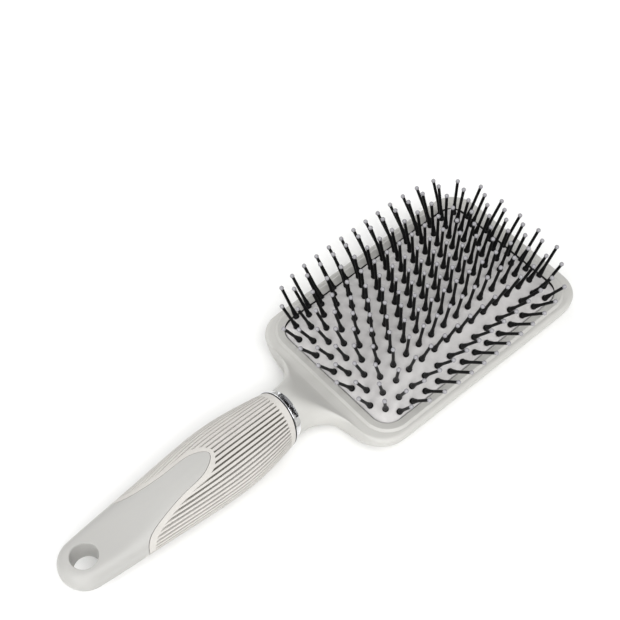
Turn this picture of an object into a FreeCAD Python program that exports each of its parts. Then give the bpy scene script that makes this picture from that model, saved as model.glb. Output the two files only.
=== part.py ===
import FreeCAD, Part
import math
import os
from collections import namedtuple

from FreeCAD import Vector

# A paddle hair brush, lying on its back with the pins up, in millimetres.
# X runs along the brush from the handle's tail to the head, Y across it, Z up.
# The origin is the centre of the bounding box's bottom face.

# Lengths along the brush, which add up to its overall length
handle_length = 104.5
ring_width = 4.1
collar_length = 2.9           # straight part of the neck, next to the ring
neck_length = 14.2
head_length = 118.3

# Head
head_width = 79.2
head_corner = 12.7
head_edge_height = 11.4       # height of the widest line round the head
shoulder_rise = 1.6           # from the widest line up to the rim
shoulder_round = 2.6          # how far in the rim's rounding reaches
back_round = 18.0             # how far in the back's rounding reaches
back_trim = 0.35              # the domed back is trimmed flat by this much
neck_radius = 10.3

# Opening for the cushion, and the frame that holds the cushion down
rim_end = 7.85                # from the head's ends to the opening
rim_side = 6.5                # from the head's sides to the opening
opening_corner = 8.0
frame_land = 2.8              # from the opening out to the frame's crest
frame_crest = 0.15
frame_lip = 4.0               # from the opening out to the lip's foot
frame_skirt = 3.4             # from the opening out to the part inside the pocket
frame_crest_height = 1.0      # crest above the rim
land_drop = 0.4               # the land falls from the crest to the opening
lip_clearance = 0.1
pocket_clearance = 0.1
ledge_depth = 4.0             # rim to the ledge that carries the cushion's flange
chamber_floor = 4.0           # height of the air chamber's floor

# Cushion
crown_rise = 8.9              # the crown's top above the cushion's edge
edge_below_land = 0.1         # the cushion's edge below the frame's land
cushion_thickness = 1.3
cushion_clearance = 0.15
flange_reach = 2.2
flange_thickness = 1.3
flange_support = 1.2          # the ledge reaches this far in, under the cushion's wall

# Pins
pin_rows = 13
pin_columns = 15              # in the fullest rows
pin_margin_x = 2.3            # from the opening's ends to the lattice's outer columns
pin_margin_y = 1.072          # from the opening's sides to the lattice's outer rows
end_row_pull = 1.27           # the first and last rows stand this much closer in
end_column_pull = 0.43
lean_factor = 1.1             # the pins lean out a little more than the surface
pin_length = 15.6             # from the root bulb's centre to the ball's centre
bulb_radius = 1.35
bulb_height = 1.0             # bulb's centre above the cushion
bulb_seat = 0.12
flare_length = 5.0
flare_radius = 1.0
shaft_radius = 0.65
pin_neck_radius = 0.55
pin_hole_clearance = 0.15
pin_head_radius = 1.25
pin_head_thickness = 0.6
pin_head_clearance = 0.1
tip_radius = 0.95
tip_bond = 0.75               # how deep the pin reaches into its ball

# Handle
ring_half_width = 12.1        # handle's half width and half height at the ring
ring_half_height = 12.0
grip_half_width = 15.9        # at the widest point
grip_half_height = 12.4
grip_widest = 28.3            # distance of the widest point from the ring
tail_radius = 10.9
tail_half_height = 5.75
tail_round = 5.2
tail_blend_length = 47.7      # the section turns from oval to flat over this much of the tail
taper_power = 1.35
hole_radius = 5.3
hole_mouth = 1.3              # radius of the mouths' rounding
hole_mouth_depth = 0.9        # how deep the rounding starts

# Grip
bare_tail = 29.2              # the sleeve ends this far from the handle's tail
sleeve_thickness = 1.1
liner_thickness = 1.0
layer_clearance = 0.03        # between the core, the liner and the sleeve
ring_border = 2.6             # plain band of the sleeve at the ring
tail_border = 1.6             # and at the sleeve's other end and round the tongue
rib_count = 52
groove_width = 0.72
parting_gap = 0.15
# Half outline of the tongue: distance from its tip and half width
tongue_length = 42.0
tongue_outline = [(4.0, 3.9), (14.0, 5.6), (30.0, 7.7), (38.0, 10.6)]
tongue_flare = 18.0

# Tang and ring
tang_radius = 7.5
tang_length = 35.0
socket_clearance = 0.1
ring_bore_clearance = 0.1
ring_slant = 0.22             # the ring leans towards the head by this much per unit of height
ring_recess = 0.3             # the ring's waist below the straight line between its rims
ring_proud = 0.1

# Places worked out from the sizes above
overall_length = handle_length + ring_width + collar_length + neck_length + head_length
tail_x = -overall_length / 2
ring_x = tail_x + handle_length
neck_x = ring_x + ring_width
flare_x = neck_x + collar_length
near_x = flare_x + neck_length
far_x = near_x + head_length
head_x = (near_x + far_x) / 2
axis_z = grip_half_height
rim_z = head_edge_height + shoulder_rise
crest_z = rim_z + frame_crest_height
land_z = crest_z - land_drop
ledge_z = rim_z - ledge_depth
cushion_edge_z = land_z - edge_below_land
flange_top_z = ledge_z + flange_thickness
tail_centre_x = tail_x + tail_radius
sleeve_end_x = tail_x + bare_tail
slant_reach = ring_slant * grip_half_height + 0.5
tongue_tip_x = sleeve_end_x + tongue_length
opening_length = head_length - 2 * rim_end
opening_width = head_width - 2 * rim_side
pin_pitch_x = (opening_length - 2 * pin_margin_x) / (pin_columns - 1)
pin_pitch_y = (opening_width - 2 * pin_margin_y) / (pin_rows - 1)

# One section of a smooth half skin: the outline point (x, y), the spine point
# (spine_x, 0), the height of the widest line, how far the section rises and
# drops from it, and how far in the upper and lower roundings reach.
Station = namedtuple("Station", "x y spine_x z rise drop round_top round_bottom")


def smooth(value):
    """0 below 0, 1 above 1, and an even S between them."""
    t = min(max(value, 0.0), 1.0)
    return t * t * (3 - 2 * t)


def mix(a, b, t):
    return a + (b - a) * t


def section_points(s, steps=8):
    """Points of one section, from the spine under it, round the edge, to the spine above it."""
    reach = math.hypot(s.x - s.spine_x, s.y)
    ux = (s.spine_x - s.x) / reach
    uy = -s.y / reach

    def point(inward, z):
        return Vector(s.x + ux * inward, max(s.y + uy * inward, 0.0), z)

    def flat(rounding):
        return [mix(rounding, reach, t) for t in (0.06, 0.18, 0.45, 1.0)]

    below = [point(d, s.z - s.drop) for d in reversed(flat(s.round_bottom))]
    for i in range(steps, 0, -1):
        angle = math.radians(90.0 * i / steps)
        below.append(point(s.round_bottom * (1 - math.cos(angle)), s.z - s.drop * math.sin(angle)))
    above = []
    for i in range(1, steps + 1):
        angle = math.radians(90.0 * i / steps)
        above.append(point(s.round_top * (1 - math.cos(angle)), s.z + s.rise * math.sin(angle)))
    above += [point(d, s.z + s.rise) for d in flat(s.round_top)]
    return below + [point(0.0, s.z)] + above


def cubic_face(rows):
    """Smooth cubic face that follows a grid of points and ends on its border points."""
    knots = []
    multiplicities = []
    for count in (len(rows), len(rows[0])):
        spans = count - 3
        knots.append([i / spans for i in range(spans + 1)])
        multiplicities.append([4] + [1] * (spans - 1) + [4])
    surface = Part.BSplineSurface()
    surface.buildFromPolesMultsKnots(rows, *multiplicities, *knots, False, False, 3, 3)
    return surface.toShape()


def skin(stations):
    """Solid between a smooth half skin along the stations, its mirror image and a flat end."""
    half = cubic_face([section_points(s) for s in stations])
    other = half.mirror(Vector(0, 0, 0), Vector(0, 1, 0))
    end_x = stations[0].x
    rim = []
    for face in (half, other):
        rim += [e for e in face.Edges if e.BoundBox.XLength < 1e-4 and abs(e.BoundBox.XMin - end_x) < 1e-3]
    cap = Part.Face(Part.Wire(rim))
    shell = Part.makeShell([half, other, cap])
    shell.sewShape()
    solid = Part.makeSolid(shell)
    if solid.Volume < 0:
        solid.reverse()
    return solid


def rounded_wire(length, width, corner, z, x=head_x):
    """Rounded rectangle centred on the head, as a wire at height z."""
    a, b, r = length / 2, width / 2, corner
    d = r * (1 - math.sqrt(0.5))
    edges = []
    for sx, sy in ((1, 1), (-1, 1), (-1, -1), (1, -1)):
        side = Vector(x + sx * a, sy * (b - r), z)
        middle = Vector(x + sx * (a - d), sy * (b - d), z)
        end = Vector(x + sx * (a - r), sy * b, z)
        ends = (side, end) if sx * sy > 0 else (end, side)
        edges.append(Part.Arc(ends[0], middle, ends[1]))
    lines = []
    for arc, following in zip(edges, edges[1:] + edges[:1]):
        lines.append(arc.toShape())
        lines.append(Part.makeLine(arc.EndPoint, following.StartPoint))
    return Part.Wire(lines)


def opening_wire(grow, z):
    """The cushion's opening, grown outwards, as a wire at height z."""
    return rounded_wire(opening_length + 2 * grow, opening_width + 2 * grow, opening_corner + grow, z)


def opening_block(grow, low, high):
    """Upright block on the opening's outline, grown outwards."""
    return Part.Face(opening_wire(grow, low)).extrude(Vector(0, 0, high - low))


def opening_taper(grow_low, low, grow_high, high):
    """Tapered block on the opening's outline, with one growth at each height."""
    return Part.makeLoft([opening_wire(grow_low, low), opening_wire(grow_high, high)], True, True)


def half_space_box(low_x, high_x, low_z, high_z, half_y=100.0):
    """Plain box across the whole brush."""
    return Part.makeBox(high_x - low_x, 2 * half_y, high_z - low_z, Vector(low_x, -half_y, low_z))


def beyond_slant(x, side):
    """Block beyond the ring's slanted plane through the axis at x: side is 1 for the head's side."""
    angle = math.degrees(math.atan(ring_slant))
    block = Part.makeBox(60.0, 80.0, 80.0, Vector(0 if side > 0 else -60.0, -40.0, -40.0))
    block.rotate(Vector(0, 0, 0), Vector(0, 1, 0), angle)
    block.translate(Vector(x, 0, axis_z))
    return block


# ---- Head and neck ----

def head_outline():
    """Half outline of the neck and head, as (x, y) from the ring to the head's far end."""
    points = []
    flare_y = neck_radius + neck_length
    for i in range(10):
        angle = math.radians(90.0 * i / 9)
        points.append((flare_x + neck_length * math.sin(angle), flare_y - neck_length * math.cos(angle)))
    half = head_width / 2
    r = head_corner
    for i in range(1, 8):
        angle = math.radians(90.0 * i / 7)
        points.append((near_x + r * (1 - math.cos(angle)), half - r * (1 - math.sin(angle))))
    straight = head_length - 2 * r
    for i in range(1, 9):
        points.append((near_x + r + straight * i / 9, half))
    for i in range(8):
        angle = math.radians(90.0 * i / 7)
        points.append((far_x - r * (1 - math.sin(angle)), half - r * (1 - math.cos(angle))))
    for i in range(1, 6):
        points.append((far_x, (half - r) * (1 - i / 5)))
    return points


def head_stations():
    """Sections of the neck and head: round at the ring, shallow and bowl-shaped in the head."""
    outline = head_outline()
    stations = []
    start_x = neck_x - slant_reach
    for i in range(3):
        x = mix(start_x, flare_x, i / 3)
        stations.append(Station(x, neck_radius, x, axis_z, neck_radius, neck_radius,
                                0.96 * neck_radius, 0.96 * neck_radius))
    lengths = [0.0]
    for (x0, y0), (x1, y1) in zip(outline[9:], outline[10:]):
        lengths.append(lengths[-1] + math.hypot(x1 - x0, y1 - y0))
    spine_end = far_x - 0.3 * head_width
    for n, (x, y) in enumerate(outline):
        spine_x = x if n < 10 else mix(near_x, spine_end, lengths[n - 9] / lengths[-1])
        k = smooth((x - flare_x) / neck_length) if n < 10 else 1.0
        fall = smooth((spine_x - flare_x) / (neck_length + 2.0))
        z = mix(axis_z, head_edge_height, k)
        top = mix(axis_z + neck_radius, rim_z, fall)
        bottom = mix(axis_z - neck_radius, -back_trim, k)
        widest = 0.96 * math.hypot(x - spine_x, y)
        round_top = min(mix(0.96 * y, shoulder_round, k), widest)
        round_bottom = min(mix(0.96 * y, back_round, k), widest)
        stations.append(Station(x, y, spine_x, z, top - z, z - bottom, round_top, round_bottom))
    return stations


def make_paddle_body():
    """Head shell with the cushion's pocket and air chamber, the neck, and the tang."""
    body = skin(head_stations()).cut(beyond_slant(neck_x, -1))
    length = flare_x - ring_x + tang_length
    tang = Part.makeCylinder(tang_radius, length, Vector(flare_x, 0, axis_z), Vector(-1, 0, 0))
    body = body.fuse(tang).removeSplitter()
    body = body.cut(half_space_box(tail_x - 1, far_x + 1, -10, 0))
    pocket = opening_block(frame_skirt + pocket_clearance, ledge_z, rim_z + 20)
    chamber = opening_block(-flange_support, chamber_floor, ledge_z + 1)
    return body.cut(pocket).cut(chamber)


def make_cushion_frame():
    """Raised frame pressed into the pocket, which clamps the cushion's flange on the ledge."""
    skirt = opening_block(frame_skirt, flange_top_z, rim_z + lip_clearance + 0.2)
    lip = opening_taper(frame_lip, rim_z + lip_clearance, frame_land + frame_crest, crest_z)
    land = opening_taper(0.0, land_z, frame_land, crest_z)
    hole = opening_block(0.0, flange_top_z - 1, crest_z + 1)
    return skirt.fuse(lip).cut(land).cut(hole).removeSplitter()


# ---- Cushion ----

def crown_height(x, y):
    """Height of the cushion's surface: a quartic crown that comes down to its edge."""
    along = 1 - (2 * (x - head_x) / opening_length) ** 4
    across = 1 - (2 * y / opening_width) ** 4
    return cushion_edge_z + crown_rise * along * across


def under_crown(lower):
    """Solid under the crown, lowered by a given amount."""
    margin = 1.0
    count = 28
    rows = []
    for i in range(count + 1):
        x = head_x + (opening_length / 2 + margin) * (2 * i / count - 1)
        ys = [(opening_width / 2 + margin) * (2 * j / count - 1) for j in range(count + 1)]
        rows.append([Vector(x, y, crown_height(x, y) - lower) for y in ys])
    surface = Part.BSplineSurface()
    surface.interpolate(rows)
    return surface.toShape().extrude(Vector(0, 0, -crown_rise - 10))


def make_cushion(places):
    """Hollow rubber cushion with a clamped flange and a hole for each pin."""
    top = cushion_edge_z + crown_rise + 1
    outer = opening_block(-cushion_clearance, ledge_z, top).common(under_crown(0.0))
    inner = opening_block(-cushion_clearance - cushion_thickness, ledge_z, top)
    inner = inner.common(under_crown(cushion_thickness))
    flange = opening_block(flange_reach, ledge_z, flange_top_z)
    inner_below = opening_block(-cushion_clearance - cushion_thickness, ledge_z, flange_top_z)
    shell = outer.fuse(flange).cut(inner).cut(inner_below)
    holes = []
    for base, lean in places:
        start = base - lean * (cushion_thickness + 1.0)
        holes.append(Part.makeCylinder(pin_neck_radius + pin_hole_clearance, cushion_thickness + 2.0, start, lean))
    return shell.cut(Part.makeCompound(holes))


# ---- Pins ----

def pin_places(row):
    """Root point on the cushion and leaning direction of each pin in a row, counted from 1."""
    across = row - (pin_rows + 1) / 2
    y = across * pin_pitch_y
    if row in (1, pin_rows):
        y -= math.copysign(end_row_pull, y)
        columns = pin_columns - 2
    else:
        columns = pin_columns - 1 if row % 2 == 0 else pin_columns
    places = []
    for n in range(columns):
        step = n - (columns - 1) / 2
        x = step * pin_pitch_x
        if columns == pin_columns and n in (0, columns - 1):
            x -= math.copysign(end_column_pull, x)
        u, v = 2 * x / opening_length, 2 * y / opening_width
        slope_x = crown_rise * 8 * u ** 3 / opening_length * (1 - v ** 4)
        slope_y = crown_rise * 8 * v ** 3 / opening_width * (1 - u ** 4)
        lean = Vector(lean_factor * slope_x, lean_factor * slope_y, 1).normalize()
        places.append((Vector(head_x + x, y, crown_height(head_x + x, y)), lean))
    return places


def pin_profile():
    """One pin about the Z axis, with the cushion's surface at z = 0."""
    head_top = -cushion_thickness - pin_head_clearance
    head_low = head_top - pin_head_thickness
    seat_radius = math.sqrt(bulb_radius ** 2 - (bulb_height - bulb_seat) ** 2)
    leave = math.radians(40)
    shoulder = Vector(bulb_radius * math.cos(leave), 0, bulb_height + bulb_radius * math.sin(leave))
    end = bulb_height + pin_length - tip_radius + tip_bond
    flare_end = bulb_height + flare_length
    arc = Part.Arc(Vector(seat_radius, 0, bulb_seat), Vector(bulb_radius, 0, bulb_height), shoulder)
    corners = [
        shoulder,
        Vector(flare_radius, 0, mix(shoulder.z, flare_end, 0.25)),
        Vector(shaft_radius, 0, flare_end),
        Vector(shaft_radius, 0, end),
        Vector(0, 0, end),
        Vector(0, 0, head_low),
        Vector(pin_head_radius, 0, head_low),
        Vector(pin_head_radius, 0, head_top),
        Vector(pin_neck_radius, 0, head_top),
        Vector(pin_neck_radius, 0, bulb_seat),
        Vector(seat_radius, 0, bulb_seat),
    ]
    edges = [arc.toShape()]
    edges += [Part.makeLine(a, b) for a, b in zip(corners, corners[1:])]
    face = Part.Face(Part.Wire(edges))
    return face.revolve(Vector(0, 0, 0), Vector(0, 0, 1), 360)


def tip_profile():
    """Ball tip about the Z axis, with a socket for the pin's end."""
    centre = bulb_height + pin_length
    ball = Part.makeSphere(tip_radius, Vector(0, 0, centre))
    low = centre - 2 * tip_radius
    socket = Part.makeCylinder(shaft_radius, centre - tip_radius + tip_bond - low, Vector(0, 0, low))
    return ball.cut(socket)


def placed(shape, places):
    """Copies of a shape made about the Z axis, one at each place."""
    copies = []
    for base, lean in places:
        turn = FreeCAD.Rotation(Vector(0, 0, 1), lean)
        copy = shape.copy()
        copy.Placement = FreeCAD.Placement(base, turn)
        copies.append(copy)
    return Part.makeCompound(copies)


# ---- Handle ----

def handle_half_width(distance):
    """Half width of the handle at a distance from the ring, up to the round tail."""
    if distance <= grip_widest:
        swell = math.sin(math.pi / 2 * distance / grip_widest)
        return mix(ring_half_width, grip_half_width, swell)
    t = (distance - grip_widest) / (handle_length - tail_radius - grip_widest)
    return mix(grip_half_width, tail_radius, t ** taper_power)


def handle_half_height(distance):
    if distance <= grip_widest:
        swell = math.sin(math.pi / 2 * distance / grip_widest)
        return mix(ring_half_height, grip_half_height, swell)
    fall = smooth((distance - grip_widest) / (handle_length - 2 * tail_radius - grip_widest))
    return mix(grip_half_height, tail_half_height, fall)


def handle_stations(inset):
    """Sections of the handle, from the ring to the tail's tip, shrunk inwards by inset."""
    stations = []
    straight = handle_length - tail_radius
    count = 23
    blend_start = handle_length - tail_blend_length
    flat_start = handle_length - 1.6 * tail_radius
    for i in range(count):
        d = mix(-slant_reach, straight, i / (count - 1))
        flatness = smooth((d - blend_start) / (flat_start - blend_start))
        y = handle_half_width(d) - inset
        half_height = handle_half_height(d) - inset
        reach = mix(0.97 * y, min(tail_round, 0.97 * y), flatness)
        stations.append(Station(ring_x - d, y, ring_x - d, axis_z, half_height, half_height, reach, reach))
    radius = tail_radius - inset
    half_height = tail_half_height - inset
    for i in range(1, 10):
        angle = math.radians(90.0 * i / 9)
        x = tail_centre_x - radius * math.sin(angle)
        spine_x = mix(tail_centre_x, x, 0.3)
        stations.append(Station(x, radius * math.cos(angle), spine_x, axis_z, half_height, half_height,
                                tail_round, tail_round))
    return stations


def tongue_block(grow, low, high):
    """Upright block on the tongue's outline, grown outwards, open towards the tail."""
    tip_x = tongue_tip_x + grow
    side = [Vector(tip_x - d, w + grow, low) for d, w in tongue_outline]
    side.append(Vector(tip_x - tongue_length, tongue_flare + grow, low))
    other = [Vector(p.x, -p.y, low) for p in side]
    curve = Part.BSplineCurve()
    curve.interpolate(list(reversed(other)) + [Vector(tip_x, 0, low)] + side)
    close = Part.makeLine(side[-1], other[-1])
    return Part.Face(Part.Wire([curve.toShape(), close])).extrude(Vector(0, 0, high - low))


def hanging_hole():
    """Round hole with flared mouths, as a solid to cut away."""
    bend = tail_half_height - hole_mouth_depth
    reach = bend + hole_mouth
    outer = hole_radius + hole_mouth
    swing = hole_mouth * math.sqrt(0.5)
    upper = Part.Arc(Vector(hole_radius, 0, bend), Vector(outer - swing, 0, bend + swing), Vector(outer, 0, reach))
    lower = Part.Arc(Vector(outer, 0, -reach), Vector(outer - swing, 0, -bend - swing), Vector(hole_radius, 0, -bend))
    edges = [
        lower.toShape(),
        Part.makeLine(lower.EndPoint, upper.StartPoint),
        upper.toShape(),
        Part.makeLine(upper.EndPoint, Vector(0, 0, reach)),
        Part.makeLine(Vector(0, 0, reach), Vector(0, 0, -reach)),
        Part.makeLine(Vector(0, 0, -reach), lower.StartPoint),
    ]
    solid = Part.Face(Part.Wire(edges)).revolve(Vector(0, 0, 0), Vector(0, 0, 1), 360)
    # The seam is turned away from the joint between the handle's two half faces
    solid.rotate(Vector(0, 0, 0), Vector(0, 0, 1), 50)
    solid.translate(Vector(tail_centre_x, 0, axis_z))
    return solid


def grooves():
    """Lengthwise grooves of the sleeve, evenly spaced round its oval section."""
    low_x = sleeve_end_x + tail_border
    high_x = ring_x + slant_reach
    inner = 0.6 * ring_half_height
    depth = 2 * grip_half_width
    cuts = []
    for k in range(rib_count):
        t = 2 * math.pi * (k + 0.5) / rib_count
        angle = math.atan2(grip_half_height * math.sin(t), grip_half_width * math.cos(t))
        cut = Part.makeBox(high_x - low_x, groove_width, depth, Vector(low_x, -groove_width / 2, inner))
        cut.rotate(Vector(0, 0, 0), Vector(1, 0, 0), math.degrees(angle) - 90)
        cut.translate(Vector(0, 0, axis_z))
        cuts.append(cut)
    border = tongue_block(parting_gap + tail_border, axis_z, axis_z + 2 * depth)
    return Part.makeCompound(cuts).cut(border).cut(beyond_slant(ring_x - ring_border, 1))


def make_handle_parts():
    """Handle core with tongue and tail, dark liner and ribbed sleeve."""
    top = axis_z + 2 * grip_half_height
    liner_depth = sleeve_thickness + liner_thickness
    outer = skin(handle_stations(0.0))
    sleeve_inside = skin(handle_stations(sleeve_thickness))
    liner_outside = skin(handle_stations(sleeve_thickness + layer_clearance))
    liner_inside = skin(handle_stations(liner_depth))
    core_outside = skin(handle_stations(liner_depth + layer_clearance))
    grip_side = half_space_box(sleeve_end_x, ring_x + slant_reach + 1, -5, top)
    ring_side = beyond_slant(ring_x, 1)
    recess = grip_side.cut(tongue_block(0.0, axis_z, top)).cut(core_outside)
    socket = Part.makeCylinder(tang_radius + socket_clearance, slant_reach + tang_length + 0.5,
                               Vector(ring_x + slant_reach, 0, axis_z), Vector(-1, 0, 0))
    core = outer.cut(recess).cut(ring_side).cut(socket).cut(hanging_hole())
    layer_side = half_space_box(sleeve_end_x + parting_gap, ring_x + slant_reach + 1, -5, top)
    layer_side = layer_side.cut(tongue_block(parting_gap, axis_z, top)).cut(ring_side)
    liner = liner_outside.cut(liner_inside).common(layer_side)
    sleeve = outer.cut(sleeve_inside).common(layer_side).cut(grooves())
    return core, liner, sleeve


def slanted_oval(x, half_width, half_height):
    """Oval section of the handle's end, cut on the ring's slant, as a wire."""
    stretch = math.sqrt(1 + ring_slant ** 2)
    up = Vector(ring_slant, 0, 1).normalize()
    across = Vector(0, 1, 0)
    if half_height * stretch >= half_width:
        long_side, short_side = up * half_height * stretch, across * half_width
    else:
        long_side, short_side = across * half_width, up * half_height * stretch
    centre = Vector(x, 0, axis_z)
    oval = Part.Ellipse(centre + long_side, centre + short_side, centre)
    return Part.Wire([oval.toShape()])


def make_chrome_ring():
    """Waisted, slanted ring on the tang, between the neck and the grip."""
    waist_width = (ring_half_width + neck_radius) / 2 + ring_proud - ring_recess
    waist_height = (ring_half_height + neck_radius) / 2 + ring_proud - ring_recess
    sections = [
        slanted_oval(ring_x, ring_half_width + ring_proud, ring_half_height + ring_proud),
        slanted_oval((ring_x + neck_x) / 2, waist_width, waist_height),
        slanted_oval(neck_x, neck_radius + ring_proud, neck_radius + ring_proud),
    ]
    length = ring_width + 2 * slant_reach
    bore = Part.makeCylinder(tang_radius + ring_bore_clearance, length,
                             Vector(ring_x - slant_reach, 0, axis_z), Vector(1, 0, 0))
    return Part.makeLoft(sections, True, False).cut(bore)


def make_nodes():
    """Every node of the brush, by name."""
    rows = {row: pin_places(row) for row in range(1, pin_rows + 1)}
    core, liner, sleeve = make_handle_parts()
    nodes = {
        "paddle_body": make_paddle_body(),
        "cushion_frame": make_cushion_frame(),
        "cushion": make_cushion([place for row in rows.values() for place in row]),
        "chrome_ring": make_chrome_ring(),
        "handle_core": core,
        "grip_liner": liner,
        "grip_sleeve": sleeve,
    }
    pin = pin_profile()
    tip = tip_profile()
    for row, places in rows.items():
        nodes[f"pin_row_{row:02d}"] = placed(pin, places)
        nodes[f"tip_row_{row:02d}"] = placed(tip, places)
    return nodes


os.makedirs("parts", exist_ok=True)
for name, shape in make_nodes().items():
    shape.exportStep(f"parts/{name}.step")
    print(name, len(shape.Solids), round(shape.Volume, 1), shape.isValid())
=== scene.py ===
"""Visual model of a paddle hair brush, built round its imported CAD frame.

The head, the frame, the handle, the pins and their ball tips are the CAD's own
solids with their finishes. The rubber cushion and the chrome ring are modelled
here in more detail and stand for their CAD solids. All lengths in the classes
are in millimetres unless a name says otherwise; meshes are in metres.
"""

import logging
import math
from dataclasses import dataclass, field
from enum import Enum
from typing import Any, Callable

import bmesh
import bpy
import numpy as np
from mathutils import Matrix, Vector


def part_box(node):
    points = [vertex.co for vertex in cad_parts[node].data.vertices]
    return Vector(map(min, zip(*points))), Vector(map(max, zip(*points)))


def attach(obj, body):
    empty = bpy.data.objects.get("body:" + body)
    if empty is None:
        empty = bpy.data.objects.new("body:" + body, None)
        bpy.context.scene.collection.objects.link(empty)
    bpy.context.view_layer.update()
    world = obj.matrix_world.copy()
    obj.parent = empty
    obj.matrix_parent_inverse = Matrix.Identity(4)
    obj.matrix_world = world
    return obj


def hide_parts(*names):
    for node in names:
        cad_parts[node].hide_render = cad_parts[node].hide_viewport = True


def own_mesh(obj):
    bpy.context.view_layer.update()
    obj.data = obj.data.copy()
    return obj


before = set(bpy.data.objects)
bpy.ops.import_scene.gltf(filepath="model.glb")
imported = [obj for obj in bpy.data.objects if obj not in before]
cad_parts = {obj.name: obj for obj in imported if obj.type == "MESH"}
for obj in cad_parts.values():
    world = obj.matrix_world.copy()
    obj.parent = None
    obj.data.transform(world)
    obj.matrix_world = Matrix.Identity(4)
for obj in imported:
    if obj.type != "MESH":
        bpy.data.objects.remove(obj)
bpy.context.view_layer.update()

MM = 0.001
# painted shade for the frame's inner wall in the gap round the cushion
GAP_SHADE = "#161515"
GAP_SLACK = 0.03  # the shade reaches this far past the opening's wall, in millimetres
GAP_TOP = 0.05  # and this far over the cushion's edge, still under the frame's land
Colour = tuple[float, float, float, float]

logging.basicConfig(level=logging.INFO, format="%(message)s")
LOG = logging.getLogger("paddle_brush")


# ---- Shared helpers ----


def linear(hex_colour: str) -> Colour:
    """Turn an sRGB hex colour into the linear colour that shaders and lights take.

    Args:
        hex_colour: colour as "#rrggbb".

    Returns:
        Linear red, green and blue, with an alpha of 1.
    """
    channels = []
    for start in (1, 3, 5):
        value = int(hex_colour[start : start + 2], 16) / 255
        channels.append(value / 12.92 if value <= 0.04045 else ((value + 0.055) / 1.055) ** 2.4)
    return (*channels, 1.0)


def add_node(
    tree: bpy.types.NodeTree, kind: str, inputs: dict[str | int, Any] | None = None, **settings: Any
) -> bpy.types.Node:
    """Add one shader node with its settings, values and links.

    Args:
        tree: node tree that gets the node.
        kind: Blender's name of the node type.
        inputs: value or output socket for each named or numbered input.
        settings: properties of the node itself.

    Returns:
        The new node.
    """
    node = tree.nodes.new(kind)
    for name, value in settings.items():
        setattr(node, name, value)
    for name, value in (inputs or {}).items():
        if isinstance(value, bpy.types.NodeSocket):
            tree.links.new(value, node.inputs[name])
        else:
            node.inputs[name].default_value = value
    return node


def per_metre(size_mm: float) -> float:
    """Scale of a procedural pattern whose features are size_mm across."""
    return 1.0 / (size_mm * MM)


def deselect_all() -> None:
    """Leave nothing selected and nothing active, in object mode."""
    if bpy.context.object and bpy.context.object.mode != "OBJECT":
        bpy.ops.object.mode_set(mode="OBJECT")
    bpy.ops.object.select_all(action="DESELECT")
    bpy.context.view_layer.objects.active = None


def make_active(piece: bpy.types.Object) -> None:
    """Select one object alone and make it active."""
    deselect_all()
    piece.select_set(True)
    bpy.context.view_layer.objects.active = piece


def settle(piece: bpy.types.Object) -> None:
    """Put the object's place, turn and size into its mesh, with the object at the origin."""
    make_active(piece)
    bpy.ops.object.transform_apply(location=True, rotation=True, scale=True)


def select_edges(piece: bpy.types.Object, test: Callable[[bmesh.types.BMEdge], bool]) -> int:
    """Select the edges that pass a test, in edit mode, and nothing else.

    Args:
        piece: mesh object in edit mode.
        test: says whether an edge is wanted.

    Returns:
        How many edges are selected.
    """
    bpy.ops.mesh.select_mode(type="EDGE")
    bpy.ops.mesh.select_all(action="DESELECT")
    mesh = bmesh.from_edit_mesh(piece.data)
    count = 0
    for edge in mesh.edges:
        if test(edge):
            edge.select_set(True)
            count += 1
    mesh.select_flush_mode()
    bmesh.update_edit_mesh(piece.data)
    return count


def close_shell(piece: bpy.types.Object) -> None:
    """Turn every face of a closed mesh outwards."""
    make_active(piece)
    bpy.ops.object.mode_set(mode="EDIT")
    bpy.ops.mesh.select_all(action="SELECT")
    bpy.ops.mesh.normals_make_consistent(inside=False)
    bpy.ops.object.mode_set(mode="OBJECT")


def mix(a: float, b: float, t: float) -> float:
    """Value between a and b at share t."""
    return a + (b - a) * t


def dress_node(name: str, material: bpy.types.Material) -> None:
    """Put a material in every slot of a CAD node's object."""
    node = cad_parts[name]
    for slot in node.material_slots:
        slot.material = material
    LOG.info("dressed %s with %s", name, material.name)


# ---- Finishes ----


@dataclass(frozen=True)
class MouldedPlastic:
    """Satin moulded plastic: a faint spark-eroded grain, and tone that drifts a little.

    The grain breaks up the highlights, so the shell looks soft and not glossy.
    """

    name: str
    colour: str
    shade: str
    roughness: float = 0.42
    drift: float = 45.0
    grain: float = 0.35
    grain_depth: float = 0.006

    def material(self) -> bpy.types.Material:
        """Build the material."""
        material = bpy.data.materials.new(self.name)
        material.use_nodes = True
        tree = material.node_tree
        shader = tree.nodes["Principled BSDF"]
        shader.inputs["IOR"].default_value = 1.53
        place = add_node(tree, "ShaderNodeTexCoord").outputs["Object"]
        tone = add_node(tree, "ShaderNodeTexNoise",
                        {"Vector": place, "Scale": per_metre(self.drift), "Detail": 2.0, "Roughness": 0.5})
        colour = add_node(tree, "ShaderNodeMix",
                          {"Factor": tone.outputs["Fac"], "A": linear(self.colour), "B": linear(self.shade)},
                          data_type="RGBA")
        tree.links.new(colour.outputs["Result"], shader.inputs["Base Color"])
        grain = add_node(tree, "ShaderNodeTexNoise",
                         {"Vector": place, "Scale": per_metre(self.grain), "Detail": 3.0, "Roughness": 0.6})
        rough = add_node(tree, "ShaderNodeMapRange",
                         {"Value": grain.outputs["Fac"], "To Min": self.roughness - 0.06,
                          "To Max": self.roughness + 0.06})
        tree.links.new(rough.outputs["Result"], shader.inputs["Roughness"])
        bump = add_node(tree, "ShaderNodeBump",
                        {"Height": grain.outputs["Fac"], "Strength": 0.6, "Distance": self.grain_depth * MM})
        tree.links.new(bump.outputs["Normal"], shader.inputs["Normal"])
        return material


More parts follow.
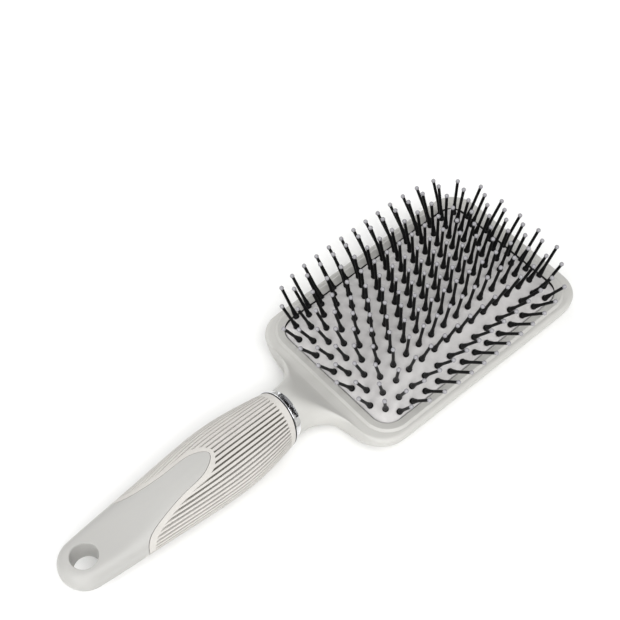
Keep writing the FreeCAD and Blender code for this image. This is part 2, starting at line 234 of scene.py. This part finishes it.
@dataclass(frozen=True)
class GapShade:
    """Painted shade: a dark colour put on the frame's inner wall down in the gap round the cushion, where
    little light reaches.
    """

    colour: str
    centre_x: float
    half_length: float
    half_width: float
    height: float

    def add_to(self, material: bpy.types.Material) -> None:
        """Mix the painted shade's dark colour into a material's own colour, inside the opening and under its
        edge.
        """
        tree = material.node_tree
        shader = tree.nodes["Principled BSDF"]
        own = shader.inputs["Base Color"].links[0].from_socket
        place = add_node(tree, "ShaderNodeTexCoord").outputs["Object"]
        axes = add_node(tree, "ShaderNodeSeparateXYZ", {"Vector": place}).outputs
        along = add_node(tree, "ShaderNodeMath", {0: axes["X"], 1: self.centre_x * MM}, operation="SUBTRACT")
        inside = []
        for value, limit in ((along.outputs["Value"], self.half_length), (axes["Y"], self.half_width)):
            distance = add_node(tree, "ShaderNodeMath", {0: value}, operation="ABSOLUTE")
            inside.append(add_node(tree, "ShaderNodeMath", {0: distance.outputs["Value"], 1: limit * MM},
                                   operation="LESS_THAN"))
        under = add_node(tree, "ShaderNodeMath", {0: axes["Z"], 1: self.height * MM}, operation="LESS_THAN")
        both = add_node(tree, "ShaderNodeMath", {0: inside[0].outputs["Value"], 1: inside[1].outputs["Value"]},
                        operation="MULTIPLY")
        share = add_node(tree, "ShaderNodeMath", {0: both.outputs["Value"], 1: under.outputs["Value"]},
                         operation="MULTIPLY")
        colour = add_node(tree, "ShaderNodeMix",
                          {"Factor": share.outputs["Value"], "A": own, "B": linear(self.colour)},
                          data_type="RGBA")
        tree.links.new(colour.outputs["Result"], shader.inputs["Base Color"])


@dataclass(frozen=True)
class MattRubber:
    """Moulded matt rubber: a fine dry grain, a dusty sheen and small tone patches."""

    name: str
    colour: str
    shade: str
    roughness: float = 0.68
    patch: float = 6.0
    grain: float = 0.22
    grain_depth: float = 0.008
    sheen: float = 0.15

    def material(self) -> bpy.types.Material:
        """Build the material."""
        material = bpy.data.materials.new(self.name)
        material.use_nodes = True
        tree = material.node_tree
        shader = tree.nodes["Principled BSDF"]
        shader.inputs["IOR"].default_value = 1.5
        shader.inputs["Sheen Weight"].default_value = self.sheen
        shader.inputs["Sheen Roughness"].default_value = 0.6
        shader.inputs["Roughness"].default_value = self.roughness
        place = add_node(tree, "ShaderNodeTexCoord").outputs["Object"]
        patches = add_node(tree, "ShaderNodeTexNoise",
                           {"Vector": place, "Scale": per_metre(self.patch), "Detail": 4.0, "Roughness": 0.62})
        ramp = add_node(tree, "ShaderNodeMapRange",
                        {"Value": patches.outputs["Fac"], "From Min": 0.3, "From Max": 0.7})
        colour = add_node(tree, "ShaderNodeMix",
                          {"Factor": ramp.outputs["Result"], "A": linear(self.colour), "B": linear(self.shade)},
                          data_type="RGBA")
        tree.links.new(colour.outputs["Result"], shader.inputs["Base Color"])
        grain = add_node(tree, "ShaderNodeTexNoise",
                         {"Vector": place, "Scale": per_metre(self.grain), "Detail": 2.0, "Roughness": 0.7})
        bump = add_node(tree, "ShaderNodeBump",
                        {"Height": grain.outputs["Fac"], "Strength": 0.7, "Distance": self.grain_depth * MM})
        tree.links.new(bump.outputs["Normal"], shader.inputs["Normal"])
        return material


@dataclass(frozen=True)
class ChromePlate:
    """Bright chrome plated on moulded plastic: a clean mirror with faint handling haze."""

    name: str
    colour: str
    roughness: float = 0.05
    haze: float = 4.0

    def material(self) -> bpy.types.Material:
        """Build the material."""
        material = bpy.data.materials.new(self.name)
        material.use_nodes = True
        tree = material.node_tree
        shader = tree.nodes["Principled BSDF"]
        shader.inputs["Metallic"].default_value = 1.0
        shader.inputs["Base Color"].default_value = linear(self.colour)
        place = add_node(tree, "ShaderNodeTexCoord").outputs["Object"]
        haze = add_node(tree, "ShaderNodeTexNoise",
                        {"Vector": place, "Scale": per_metre(self.haze), "Detail": 5.0, "Roughness": 0.6})
        rough = add_node(tree, "ShaderNodeMapRange",
                         {"Value": haze.outputs["Fac"], "From Min": 0.35, "From Max": 0.75,
                          "To Min": self.roughness, "To Max": self.roughness + 0.07})
        tree.links.new(rough.outputs["Result"], shader.inputs["Roughness"])
        return material


@dataclass(frozen=True)
class MouldedNylon:
    """Black moulded nylon: satin, with fine flow marks that soften the highlight."""

    name: str
    colour: str
    roughness: float = 0.46
    gloss: float = 0.14
    flow: float = 0.6

    def material(self) -> bpy.types.Material:
        """Build the material."""
        material = bpy.data.materials.new(self.name)
        material.use_nodes = True
        tree = material.node_tree
        shader = tree.nodes["Principled BSDF"]
        shader.inputs["IOR"].default_value = 1.53
        shader.inputs["Specular IOR Level"].default_value = self.gloss
        shader.inputs["Base Color"].default_value = linear(self.colour)
        place = add_node(tree, "ShaderNodeTexCoord").outputs["Object"]
        flow = add_node(tree, "ShaderNodeTexNoise",
                        {"Vector": place, "Scale": per_metre(self.flow), "Detail": 3.0, "Roughness": 0.55})
        rough = add_node(tree, "ShaderNodeMapRange",
                         {"Value": flow.outputs["Fac"], "To Min": self.roughness - 0.08,
                          "To Max": self.roughness + 0.1})
        tree.links.new(rough.outputs["Result"], shader.inputs["Roughness"])
        bump = add_node(tree, "ShaderNodeBump",
                        {"Height": flow.outputs["Fac"], "Strength": 0.5, "Distance": 0.01 * MM})
        tree.links.new(bump.outputs["Normal"], shader.inputs["Normal"])
        return material


@dataclass(frozen=True)
class DippedResin:
    """Ball of milky resin dipped on a pin's end: glossy, with painted shade: pale where it faces the eye,
    darker at its rim.
    """

    name: str
    colour: str
    rim_shade: str
    roughness: float = 0.22
    clearness: float = 0.2
    cloud: float = 0.9

    def material(self) -> bpy.types.Material:
        """Build the material."""
        material = bpy.data.materials.new(self.name)
        material.use_nodes = True
        tree = material.node_tree
        shader = tree.nodes["Principled BSDF"]
        shader.inputs["IOR"].default_value = 1.5
        shader.inputs["Transmission Weight"].default_value = self.clearness
        shader.inputs["Roughness"].default_value = self.roughness
        place = add_node(tree, "ShaderNodeTexCoord").outputs["Object"]
        cloud = add_node(tree, "ShaderNodeTexNoise",
                         {"Vector": place, "Scale": per_metre(self.cloud), "Detail": 2.0, "Roughness": 0.5})
        # painted shade: the colour darkens in patches towards the rim as the surface turns from the eye
        facing = add_node(tree, "ShaderNodeLayerWeight", {"Blend": 0.35})
        share = add_node(tree, "ShaderNodeMath", {0: facing.outputs["Facing"], 1: cloud.outputs["Fac"]},
                         operation="MULTIPLY")
        colour = add_node(tree, "ShaderNodeMix",
                          {"Factor": share.outputs["Value"], "A": linear(self.colour), "B": linear(self.rim_shade)},
                          data_type="RGBA")
        tree.links.new(colour.outputs["Result"], shader.inputs["Base Color"])
        return material


# ---- Head ----


@dataclass
class PinLattice:
    """Where the pins stand on the crowned cushion, as staggered rows."""

    length: float = 102.6
    width: float = 66.2
    rise: float = 8.9
    rows: int = 13
    columns: int = 15
    margin_x: float = 2.3
    margin_y: float = 1.072
    end_row_pull: float = 1.27
    end_column_pull: float = 0.43

    def centre_x(self) -> float:
        """Place of the lattice's centre along the brush, in millimetres."""
        low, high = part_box("cushion_frame")
        return (low.x + high.x) / 2 / MM

    def edge_z(self) -> float:
        """Height of the cushion's edge, in millimetres."""
        low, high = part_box("cushion")
        return high.z / MM - self.rise

    def crown(self, x: np.ndarray, y: np.ndarray) -> np.ndarray:
        """Height of the smooth crown at points given from the lattice's centre.

        Args:
            x: places along the brush, in millimetres.
            y: places across the brush, in millimetres.

        Returns:
            Heights, in millimetres.
        """
        along = 1 - (2 * x / self.length) ** 4
        across = 1 - (2 * y / self.width) ** 4
        return self.edge_z() + self.rise * along * across

    def roots(self) -> np.ndarray:
        """Place every pin's root.

        Returns:
            Places from the lattice's centre in millimetres, one row of the array for each pin.
        """
        pitch_x = (self.length - 2 * self.margin_x) / (self.columns - 1)
        pitch_y = (self.width - 2 * self.margin_y) / (self.rows - 1)
        found = []
        for row in range(self.rows):
            y = (row - (self.rows - 1) / 2) * pitch_y
            end_row = row in (0, self.rows - 1)
            if end_row:
                y -= math.copysign(self.end_row_pull, y)
                count = self.columns - 2
            else:
                count = self.columns if row % 2 == 0 else self.columns - 1
            for n in range(count):
                x = (n - (count - 1) / 2) * pitch_x
                if count == self.columns and n in (0, count - 1):
                    x -= math.copysign(self.end_column_pull, x)
                found.append((x, y))
        return np.array(found)


@dataclass
class Cushion:
    """Hollow rubber cushion: a crowned pad that swells round every pin, and its clamped flange."""

    lattice: PinLattice
    finish: MattRubber
    corner: float = 8.0
    gap: float = 0.55
    step: float = 0.6
    wall: float = 1.3
    swell_height: float = 0.62
    swell_radius: float = 1.9
    edge_drop: float = 0.8
    edge_fall: float = 1.3
    edge_round: float = 0.35
    flange_reach: float = 2.0
    flange_top: float = 10.25
    flange_low: float = 9.05
    keep: float = 0.925

    def _outline(self, u: np.ndarray, v: np.ndarray, inset: float) -> tuple[np.ndarray, np.ndarray]:
        """Map a grid's points from -1 to 1 on to the rounded rectangle.

        Args:
            u: places along the brush, from -1 to 1.
            v: places across the brush, from -1 to 1.
            inset: how far the outline is drawn in from the opening.

        Returns:
            Places from the lattice's centre, in millimetres.
        """
        half_x = self.lattice.length / 2 - inset
        half_y = self.lattice.width / 2 - inset
        radius = self.corner - inset
        x, y = u * half_x, v * half_y
        p = np.abs(x) - (half_x - radius)
        q = np.abs(y) - (half_y - radius)
        corner = (p > 0) & (q > 0)
        ratio = np.ones_like(x)
        ratio[corner] = np.maximum(p, q)[corner] / np.hypot(p, q)[corner]
        x = np.where(corner, np.sign(x) * (half_x - radius + p * ratio), x)
        y = np.where(corner, np.sign(y) * (half_y - radius + q * ratio), y)
        return x, y

    def _grid(self, name: str, inset: float, lower: float, swell: float) -> bpy.types.Object:
        """Make one crowned sheet of the cushion.

        Args:
            name: name of the object.
            inset: how far its outline is drawn in from the opening.
            lower: how far it lies under the crown.
            swell: height of the swellings round the pins.

        Returns:
            The sheet, in metres at its place.
        """
        across = round(self.lattice.width / self.step)
        along = round(self.lattice.length / self.step)
        deselect_all()
        bpy.ops.mesh.primitive_grid_add(x_subdivisions=along, y_subdivisions=across, size=2.0)
        sheet = bpy.context.object
        sheet.name = name
        count = len(sheet.data.vertices)
        points = np.zeros(count * 3)
        sheet.data.vertices.foreach_get("co", points)
        points = points.reshape(-1, 3)
        x, y = self._outline(points[:, 0], points[:, 1], inset)
        inside = np.minimum(self.lattice.length / 2 - np.abs(x),
                            self.lattice.width / 2 - np.abs(y)) - inset
        z = self.lattice.crown(x, y) - lower - self.edge_drop * np.exp(-((inside / self.edge_fall) ** 2))
        if swell:
            for root_x, root_y in self.lattice.roots():
                squared = (x - root_x) ** 2 + (y - root_y) ** 2
                z += swell * np.exp(-squared / self.swell_radius**2)
        shaped = np.stack([x + self.lattice.centre_x(), y, z], axis=1) * MM
        sheet.data.vertices.foreach_set("co", shaped.ravel())
        sheet.data.update()
        return sheet

    def _extrude_rim(self, piece: bpy.types.Object, out: float, down_to: Callable[[float], float]) -> None:
        """Extrude the open rim of a sheet outwards and down.

        Args:
            piece: the sheet, in edit mode.
            out: how far the new rim stands outside the old one.
            down_to: new height for an old height, in millimetres.
        """
        select_edges(piece, lambda edge: edge.is_boundary)
        bpy.ops.mesh.extrude_edges_move()
        mesh = bmesh.from_edit_mesh(piece.data)
        centre_x = self.lattice.centre_x() * MM
        chosen = [v for v in mesh.verts if v.select]
        half_x = max(abs(v.co.x - centre_x) for v in chosen)
        half_y = max(abs(v.co.y) for v in chosen)
        for vertex in chosen:
            vertex.co.x = centre_x + (vertex.co.x - centre_x) * (1 + out * MM / half_x)
            vertex.co.y *= 1 + out * MM / half_y
            vertex.co.z = down_to(vertex.co.z / MM) * MM
        bmesh.update_edit_mesh(piece.data)

    def build(self) -> bpy.types.Object:
        """Make the cushion, give it its finish and tie it to the frame."""
        outer = self._grid("cushion_pad", self.gap + self.edge_round, 0.0, self.swell_height)
        inner = self._grid("cushion_inside", self.gap + self.wall, self.wall, 0.0)
        make_active(inner)
        bpy.ops.object.mode_set(mode="EDIT")
        bpy.ops.mesh.select_all(action="SELECT")
        bpy.ops.mesh.flip_normals()
        self._extrude_rim(inner, 0.0, lambda z: self.flange_low)
        make_active(outer)
        bpy.ops.object.mode_set(mode="EDIT")
        r = self.edge_round
        edge_sag = 0.1
        self._extrude_rim(outer, 0.7 * r, lambda z: z - 0.35 * r - edge_sag)
        self._extrude_rim(outer, 0.3 * r, lambda z: z - 0.75 * r)
        self._extrude_rim(outer, 0.0, lambda z: self.flange_top)
        self._extrude_rim(outer, self.flange_reach, lambda z: self.flange_top)
        self._extrude_rim(outer, 0.0, lambda z: self.flange_low)
        deselect_all()
        inner.select_set(True)
        outer.select_set(True)
        bpy.context.view_layer.objects.active = outer
        bpy.ops.object.join()
        bpy.ops.object.mode_set(mode="EDIT")
        select_edges(outer, lambda edge: edge.is_boundary)
        bpy.ops.mesh.bridge_edge_loops()
        bpy.ops.object.mode_set(mode="OBJECT")
        close_shell(outer)
        settle(outer)
        bpy.ops.object.shade_smooth_by_angle(angle=math.radians(50))
        outer.data.materials.clear()
        outer.data.materials.append(self.finish.material())
        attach(outer, "cushion")
        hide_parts("cushion")
        top = (self.lattice.centre_x() * MM, 0.0, (self.lattice.edge_z() + self.lattice.rise) * MM)
        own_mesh(outer)
        return outer


@dataclass
class PaddleHead:
    """Head shell with its neck, and the frame that holds the cushion down."""

    shell: MouldedPlastic
    frame_finish: MouldedPlastic
    gap: GapShade

    def dress(self) -> None:
        """Give the shell and the frame their finishes."""
        dress_node("paddle_body", self.shell.material())
        finish = self.frame_finish.material()
        # the frame's finish gets painted shade on its inner wall in the gap round the cushion
        self.gap.add_to(finish)
        dress_node("cushion_frame", finish)


@dataclass
class PinRows:
    """Rows of nylon pins with their ball tips."""

    nylon: MouldedNylon
    resin: DippedResin
    rows: int = 13

    def dress(self) -> None:
        """Give every row its finishes."""
        nylon = self.nylon.material()
        resin = self.resin.material()
        for row in range(1, self.rows + 1):
            dress_node(f"pin_row_{row:02d}", nylon)
            dress_node(f"tip_row_{row:02d}", resin)


# ---- Handle ----


@dataclass
class ChromeRing:
    """Plated ring between the neck and the grip, leaning to the head, with painted shade in its groove at the
    grip.
    """

    finish: ChromePlate
    shade: MattRubber
    segments: int = 144
    slant: float = 0.22  # lean to the head for each unit of height
    far_radius: float = 10.4
    bore: float = 7.6
    groove_width: float = 0.5
    groove_depth: float = 0.8
    edge_round: float = 0.16
    waist: float = 0.22

    def _profile(self, near: float, far: float, big: float) -> list[tuple[float, float]]:
        """Outline of the ring's wall, from its bore at the grip round to its bore at the neck.

        Args:
            near: place of the grip's side on the axis, in millimetres.
            far: place of the neck's side on the axis, in millimetres.
            big: outer radius at the grip.

        Returns:
            Places along the brush and radii, in millimetres.
        """
        small = self.far_radius
        start = near + self.groove_width
        r = self.edge_round
        draft = 0.02
        below = 0.05  # the ring's rim stays this much inside its CAD solid
        middle = (start + far) / 2
        return [
            (near, self.bore),
            (near, big - self.groove_depth),
            (start, big - self.groove_depth - draft),
            (start + draft, big - r - below),
            (start + 0.3 * r, big - 0.3 * r - below),
            (start + r, big - 0.06),
            (mix(start, middle, 0.5), mix(big, small, 0.25) - 0.75 * self.waist),
            (middle, mix(big, small, 0.5) - self.waist),
            (mix(middle, far, 0.5), mix(big, small, 0.75) - 0.75 * self.waist),
            (far - r, small - draft),
            (far - 0.3 * r, small - 0.3 * r),
            (far, small - r),
            (far, self.bore),
        ]

    def build(self) -> bpy.types.Object:
        """Make the ring, give it its finish and tie it to the frame."""
        low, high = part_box("chrome_ring")
        centre_z = (low.z + high.z) / 2
        big = (high.z - low.z) / 2 / MM
        near = low.x / MM + self.slant * big
        far = high.x / MM - self.slant * self.far_radius
        profile = self._profile(near, far, big)
        deselect_all()
        bpy.ops.mesh.primitive_circle_add(
            vertices=self.segments, radius=profile[0][1] * MM, location=(profile[0][0] * MM, 0, centre_z),
            rotation=(0, math.pi / 2, 0))
        ring = bpy.context.object
        ring.name = "ring_plated"
        settle(ring)
        bpy.ops.object.mode_set(mode="EDIT")
        bpy.ops.mesh.select_all(action="SELECT")
        x, radius = profile[0]
        for next_x, next_radius in profile[1:]:
            bpy.ops.mesh.extrude_edges_move(TRANSFORM_OT_translate={"value": ((next_x - x) * MM, 0, 0)})
            scale = next_radius / radius
            bpy.ops.transform.resize(value=(1, scale, scale), center_override=(next_x * MM, 0, centre_z))
            x, radius = next_x, next_radius
        select_edges(ring, lambda edge: edge.is_boundary)
        bpy.ops.mesh.bridge_edge_loops()
        bpy.ops.object.mode_set(mode="OBJECT")
        close_shell(ring)
        ring.data.materials.append(self.finish.material())
        ring.data.materials.append(self.shade.material())
        # the groove's faces take a near-black painted shade in place of chrome
        groove_end = (near + self.groove_width + 0.03) * MM
        for face in ring.data.polygons:
            if all(ring.data.vertices[n].co.x < groove_end for n in face.vertices):
                face.material_index = 1
        for vertex in ring.data.vertices:
            vertex.co.x += self.slant * (vertex.co.z - centre_z)
        bpy.ops.object.shade_smooth_by_angle(angle=math.radians(40))
        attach(ring, "brush")
        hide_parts("chrome_ring")
        return ring


@dataclass
class Handle:
    """Handle core with its tongue and tail, the dark liner and the ribbed sleeve."""

    core: MouldedPlastic
    liner: MattRubber
    sleeve: MattRubber

    def dress(self) -> None:
        """Give the handle's parts their finishes."""
        dress_node("handle_core", self.core.material())
        dress_node("grip_liner", self.liner.material())
        dress_node("grip_sleeve", self.sleeve.material())


# ---- Studio ----


@dataclass(frozen=True)
class Softbox:
    """Large flat light, aimed at the brush from a direction, in degrees; its power is in watts."""

    name: str
    azimuth: float
    elevation: float
    distance_m: float
    width_m: float
    height_m: float
    power: float
    colour: str = "#ffffff"


@dataclass
class Studio:
    """Plain pale floor, a wide soft key light, soft boxes and the camera.

    The wide key reaches the whole floor, so the floor stays pale out to its horizon.
    """

    azimuth: float = -41.17
    elevation: float = 54.12
    roll: float = -0.45
    aim: tuple[float, float, float] = (25.3036, 27.6409, 19.5720)
    distance: float = 598.94
    lens: float = 83.916
    sensor: float = 36.0
    key_azimuth: float = 0.0
    key_elevation: float = 55.0
    key_strength: float = 1.75
    key_angle: float = 50.0
    floor_size_m: float = 40.0
    floor_colour: str = "#f4f4f3"
    world_colour: str = "#ffffff"
    world_strength: float = 0.3
    softboxes: list[Softbox] = field(default_factory=lambda: [
        Softbox("fill_tail_low", -60.0, 25.0, 1.1, 1.0, 1.0, 6.7),
        Softbox("fill_tail_high", -60.0, 55.0, 1.1, 1.0, 1.0, 2.25),
        Softbox("fill_tail_side", -100.0, 25.0, 1.1, 1.0, 1.0, 1.5),
        Softbox("fill_head", 50.0, 25.0, 1.1, 1.0, 1.0, 1.6),
        Softbox("back_low", 180.0, 25.0, 1.1, 1.0, 1.0, 3.5),
        Softbox("back_high", 180.0, 55.0, 1.1, 1.0, 1.0, 2.2),
    ])

    def _frame_of(self, azimuth: float, elevation: float) -> tuple[Vector, Vector, Vector]:
        """Right, up and back directions of something that looks at the brush."""
        a, e = math.radians(azimuth), math.radians(elevation)
        back = Vector((math.sin(a) * math.cos(e), -math.cos(a) * math.cos(e), math.sin(e)))
        right = Vector((math.cos(a), math.sin(a), 0.0))
        return right, back.cross(right), back

    def _place(self, thing: bpy.types.Object, azimuth: float, elevation: float, roll: float,
               aim: Vector, distance_m: float) -> None:
        """Stand a light or camera round a point, looking at it."""
        right, up, back = self._frame_of(azimuth, elevation)
        turn = math.radians(roll)
        side = right * math.cos(turn) + up * math.sin(turn)
        top = up * math.cos(turn) - right * math.sin(turn)
        matrix = Matrix((side, top, back)).transposed().to_4x4()
        matrix.translation = aim + back * distance_m
        thing.matrix_world = matrix

    def build(self) -> None:
        """Make the floor, the lights, the surroundings and the camera."""
        scene = bpy.context.scene
        aim = Vector(self.aim) * MM
        camera_data = bpy.data.cameras.new("camera")
        camera_data.sensor_width = self.sensor
        camera_data.sensor_fit = "HORIZONTAL"
        camera_data.lens = self.lens
        camera_data.clip_start = 0.01
        camera = bpy.data.objects.new("camera", camera_data)
        scene.collection.objects.link(camera)
        self._place(camera, self.azimuth, self.elevation, self.roll, aim, self.distance * MM)
        scene.camera = camera
        key_data = bpy.data.lights.new("key_front", "SUN")
        key_data.energy = self.key_strength
        key_data.angle = math.radians(self.key_angle)
        key = bpy.data.objects.new("key_front", key_data)
        scene.collection.objects.link(key)
        self._place(key, self.key_azimuth, self.key_elevation, 0.0, Vector((0, 0, 0)), 2.0)
        for box in self.softboxes:
            data = bpy.data.lights.new(box.name, "AREA")
            data.shape = "RECTANGLE"
            data.size, data.size_y = box.width_m, box.height_m
            data.energy = box.power
            data.color = linear(box.colour)[:3]
            light = bpy.data.objects.new(box.name, data)
            scene.collection.objects.link(light)
            self._place(light, box.azimuth, box.elevation, 0.0, Vector((0, 0, 0.01)), box.distance_m)
        deselect_all()
        bpy.ops.mesh.primitive_plane_add(size=self.floor_size_m, location=(0, 0, -0.0001))
        floor = bpy.context.object
        floor.name = "floor"
        settle(floor)
        floor.data.materials.append(MouldedPlastic(
            "painted_floor", self.floor_colour, self.floor_colour, 0.7, 300.0, 2.0, 0.0).material())
        world = bpy.data.worlds.new("studio")
        world.use_nodes = True
        backdrop = world.node_tree.nodes["Background"]
        backdrop.inputs["Color"].default_value = linear(self.world_colour)
        backdrop.inputs["Strength"].default_value = self.world_strength
        scene.world = world
        scene.view_settings.view_transform = "Standard"


# ---- Assembly ----


class Palette(Enum):
    """Finishes of the brush's materials."""

    SHELL = MouldedPlastic("abs_satin_putty", "#bbbab6", "#b5b4b0")
    FRAME = MouldedPlastic("abs_satin_frame", "#b9b8b4", "#b3b2ae")
    CORE = MouldedPlastic("abs_satin_handle", "#adaca9", "#a8a7a4")
    LINER = MattRubber("rubber_taupe_liner", "#625e54", "#56524a")
    SLEEVE = MattRubber("rubber_cream_grip", "#c2bfba", "#bcb9b4")
    PAD = MattRubber("rubber_grey_cushion", "#c7c5c4", "#b8b6b5")
    CHROME = ChromePlate("chrome_plated_ring", "#e6e7ea")
    # painted shade for the ring's groove at the grip, not a real seal
    GROOVE_SHADE = MattRubber("painted_groove_shade", "#131211", "#0e0d0c")
    NYLON = MouldedNylon("nylon_black_pins", "#050506")
    # second colour is the painted shade at the tips' rim
    RESIN = DippedResin("resin_ball_tips", "#a5a4a8", "#55545a")


def main() -> None:
    """Build the brush and the studio."""
    lattice = PinLattice()
    # painted shade, masked to the frame's inner wall under the cushion's edge
    gap = GapShade(GAP_SHADE, lattice.centre_x(), lattice.length / 2 + GAP_SLACK,
                   lattice.width / 2 + GAP_SLACK, lattice.edge_z() + GAP_TOP)
    PaddleHead(Palette.SHELL.value, Palette.FRAME.value, gap).dress()
    LOG.info("built %s", Cushion(lattice, Palette.PAD.value).build().name)
    PinRows(Palette.NYLON.value, Palette.RESIN.value).dress()
    Handle(Palette.CORE.value, Palette.LINER.value, Palette.SLEEVE.value).dress()
    LOG.info("built %s", ChromeRing(Palette.CHROME.value, Palette.GROOVE_SHADE.value).build().name)
    Studio().build()


if __name__ == "__main__":
    main()
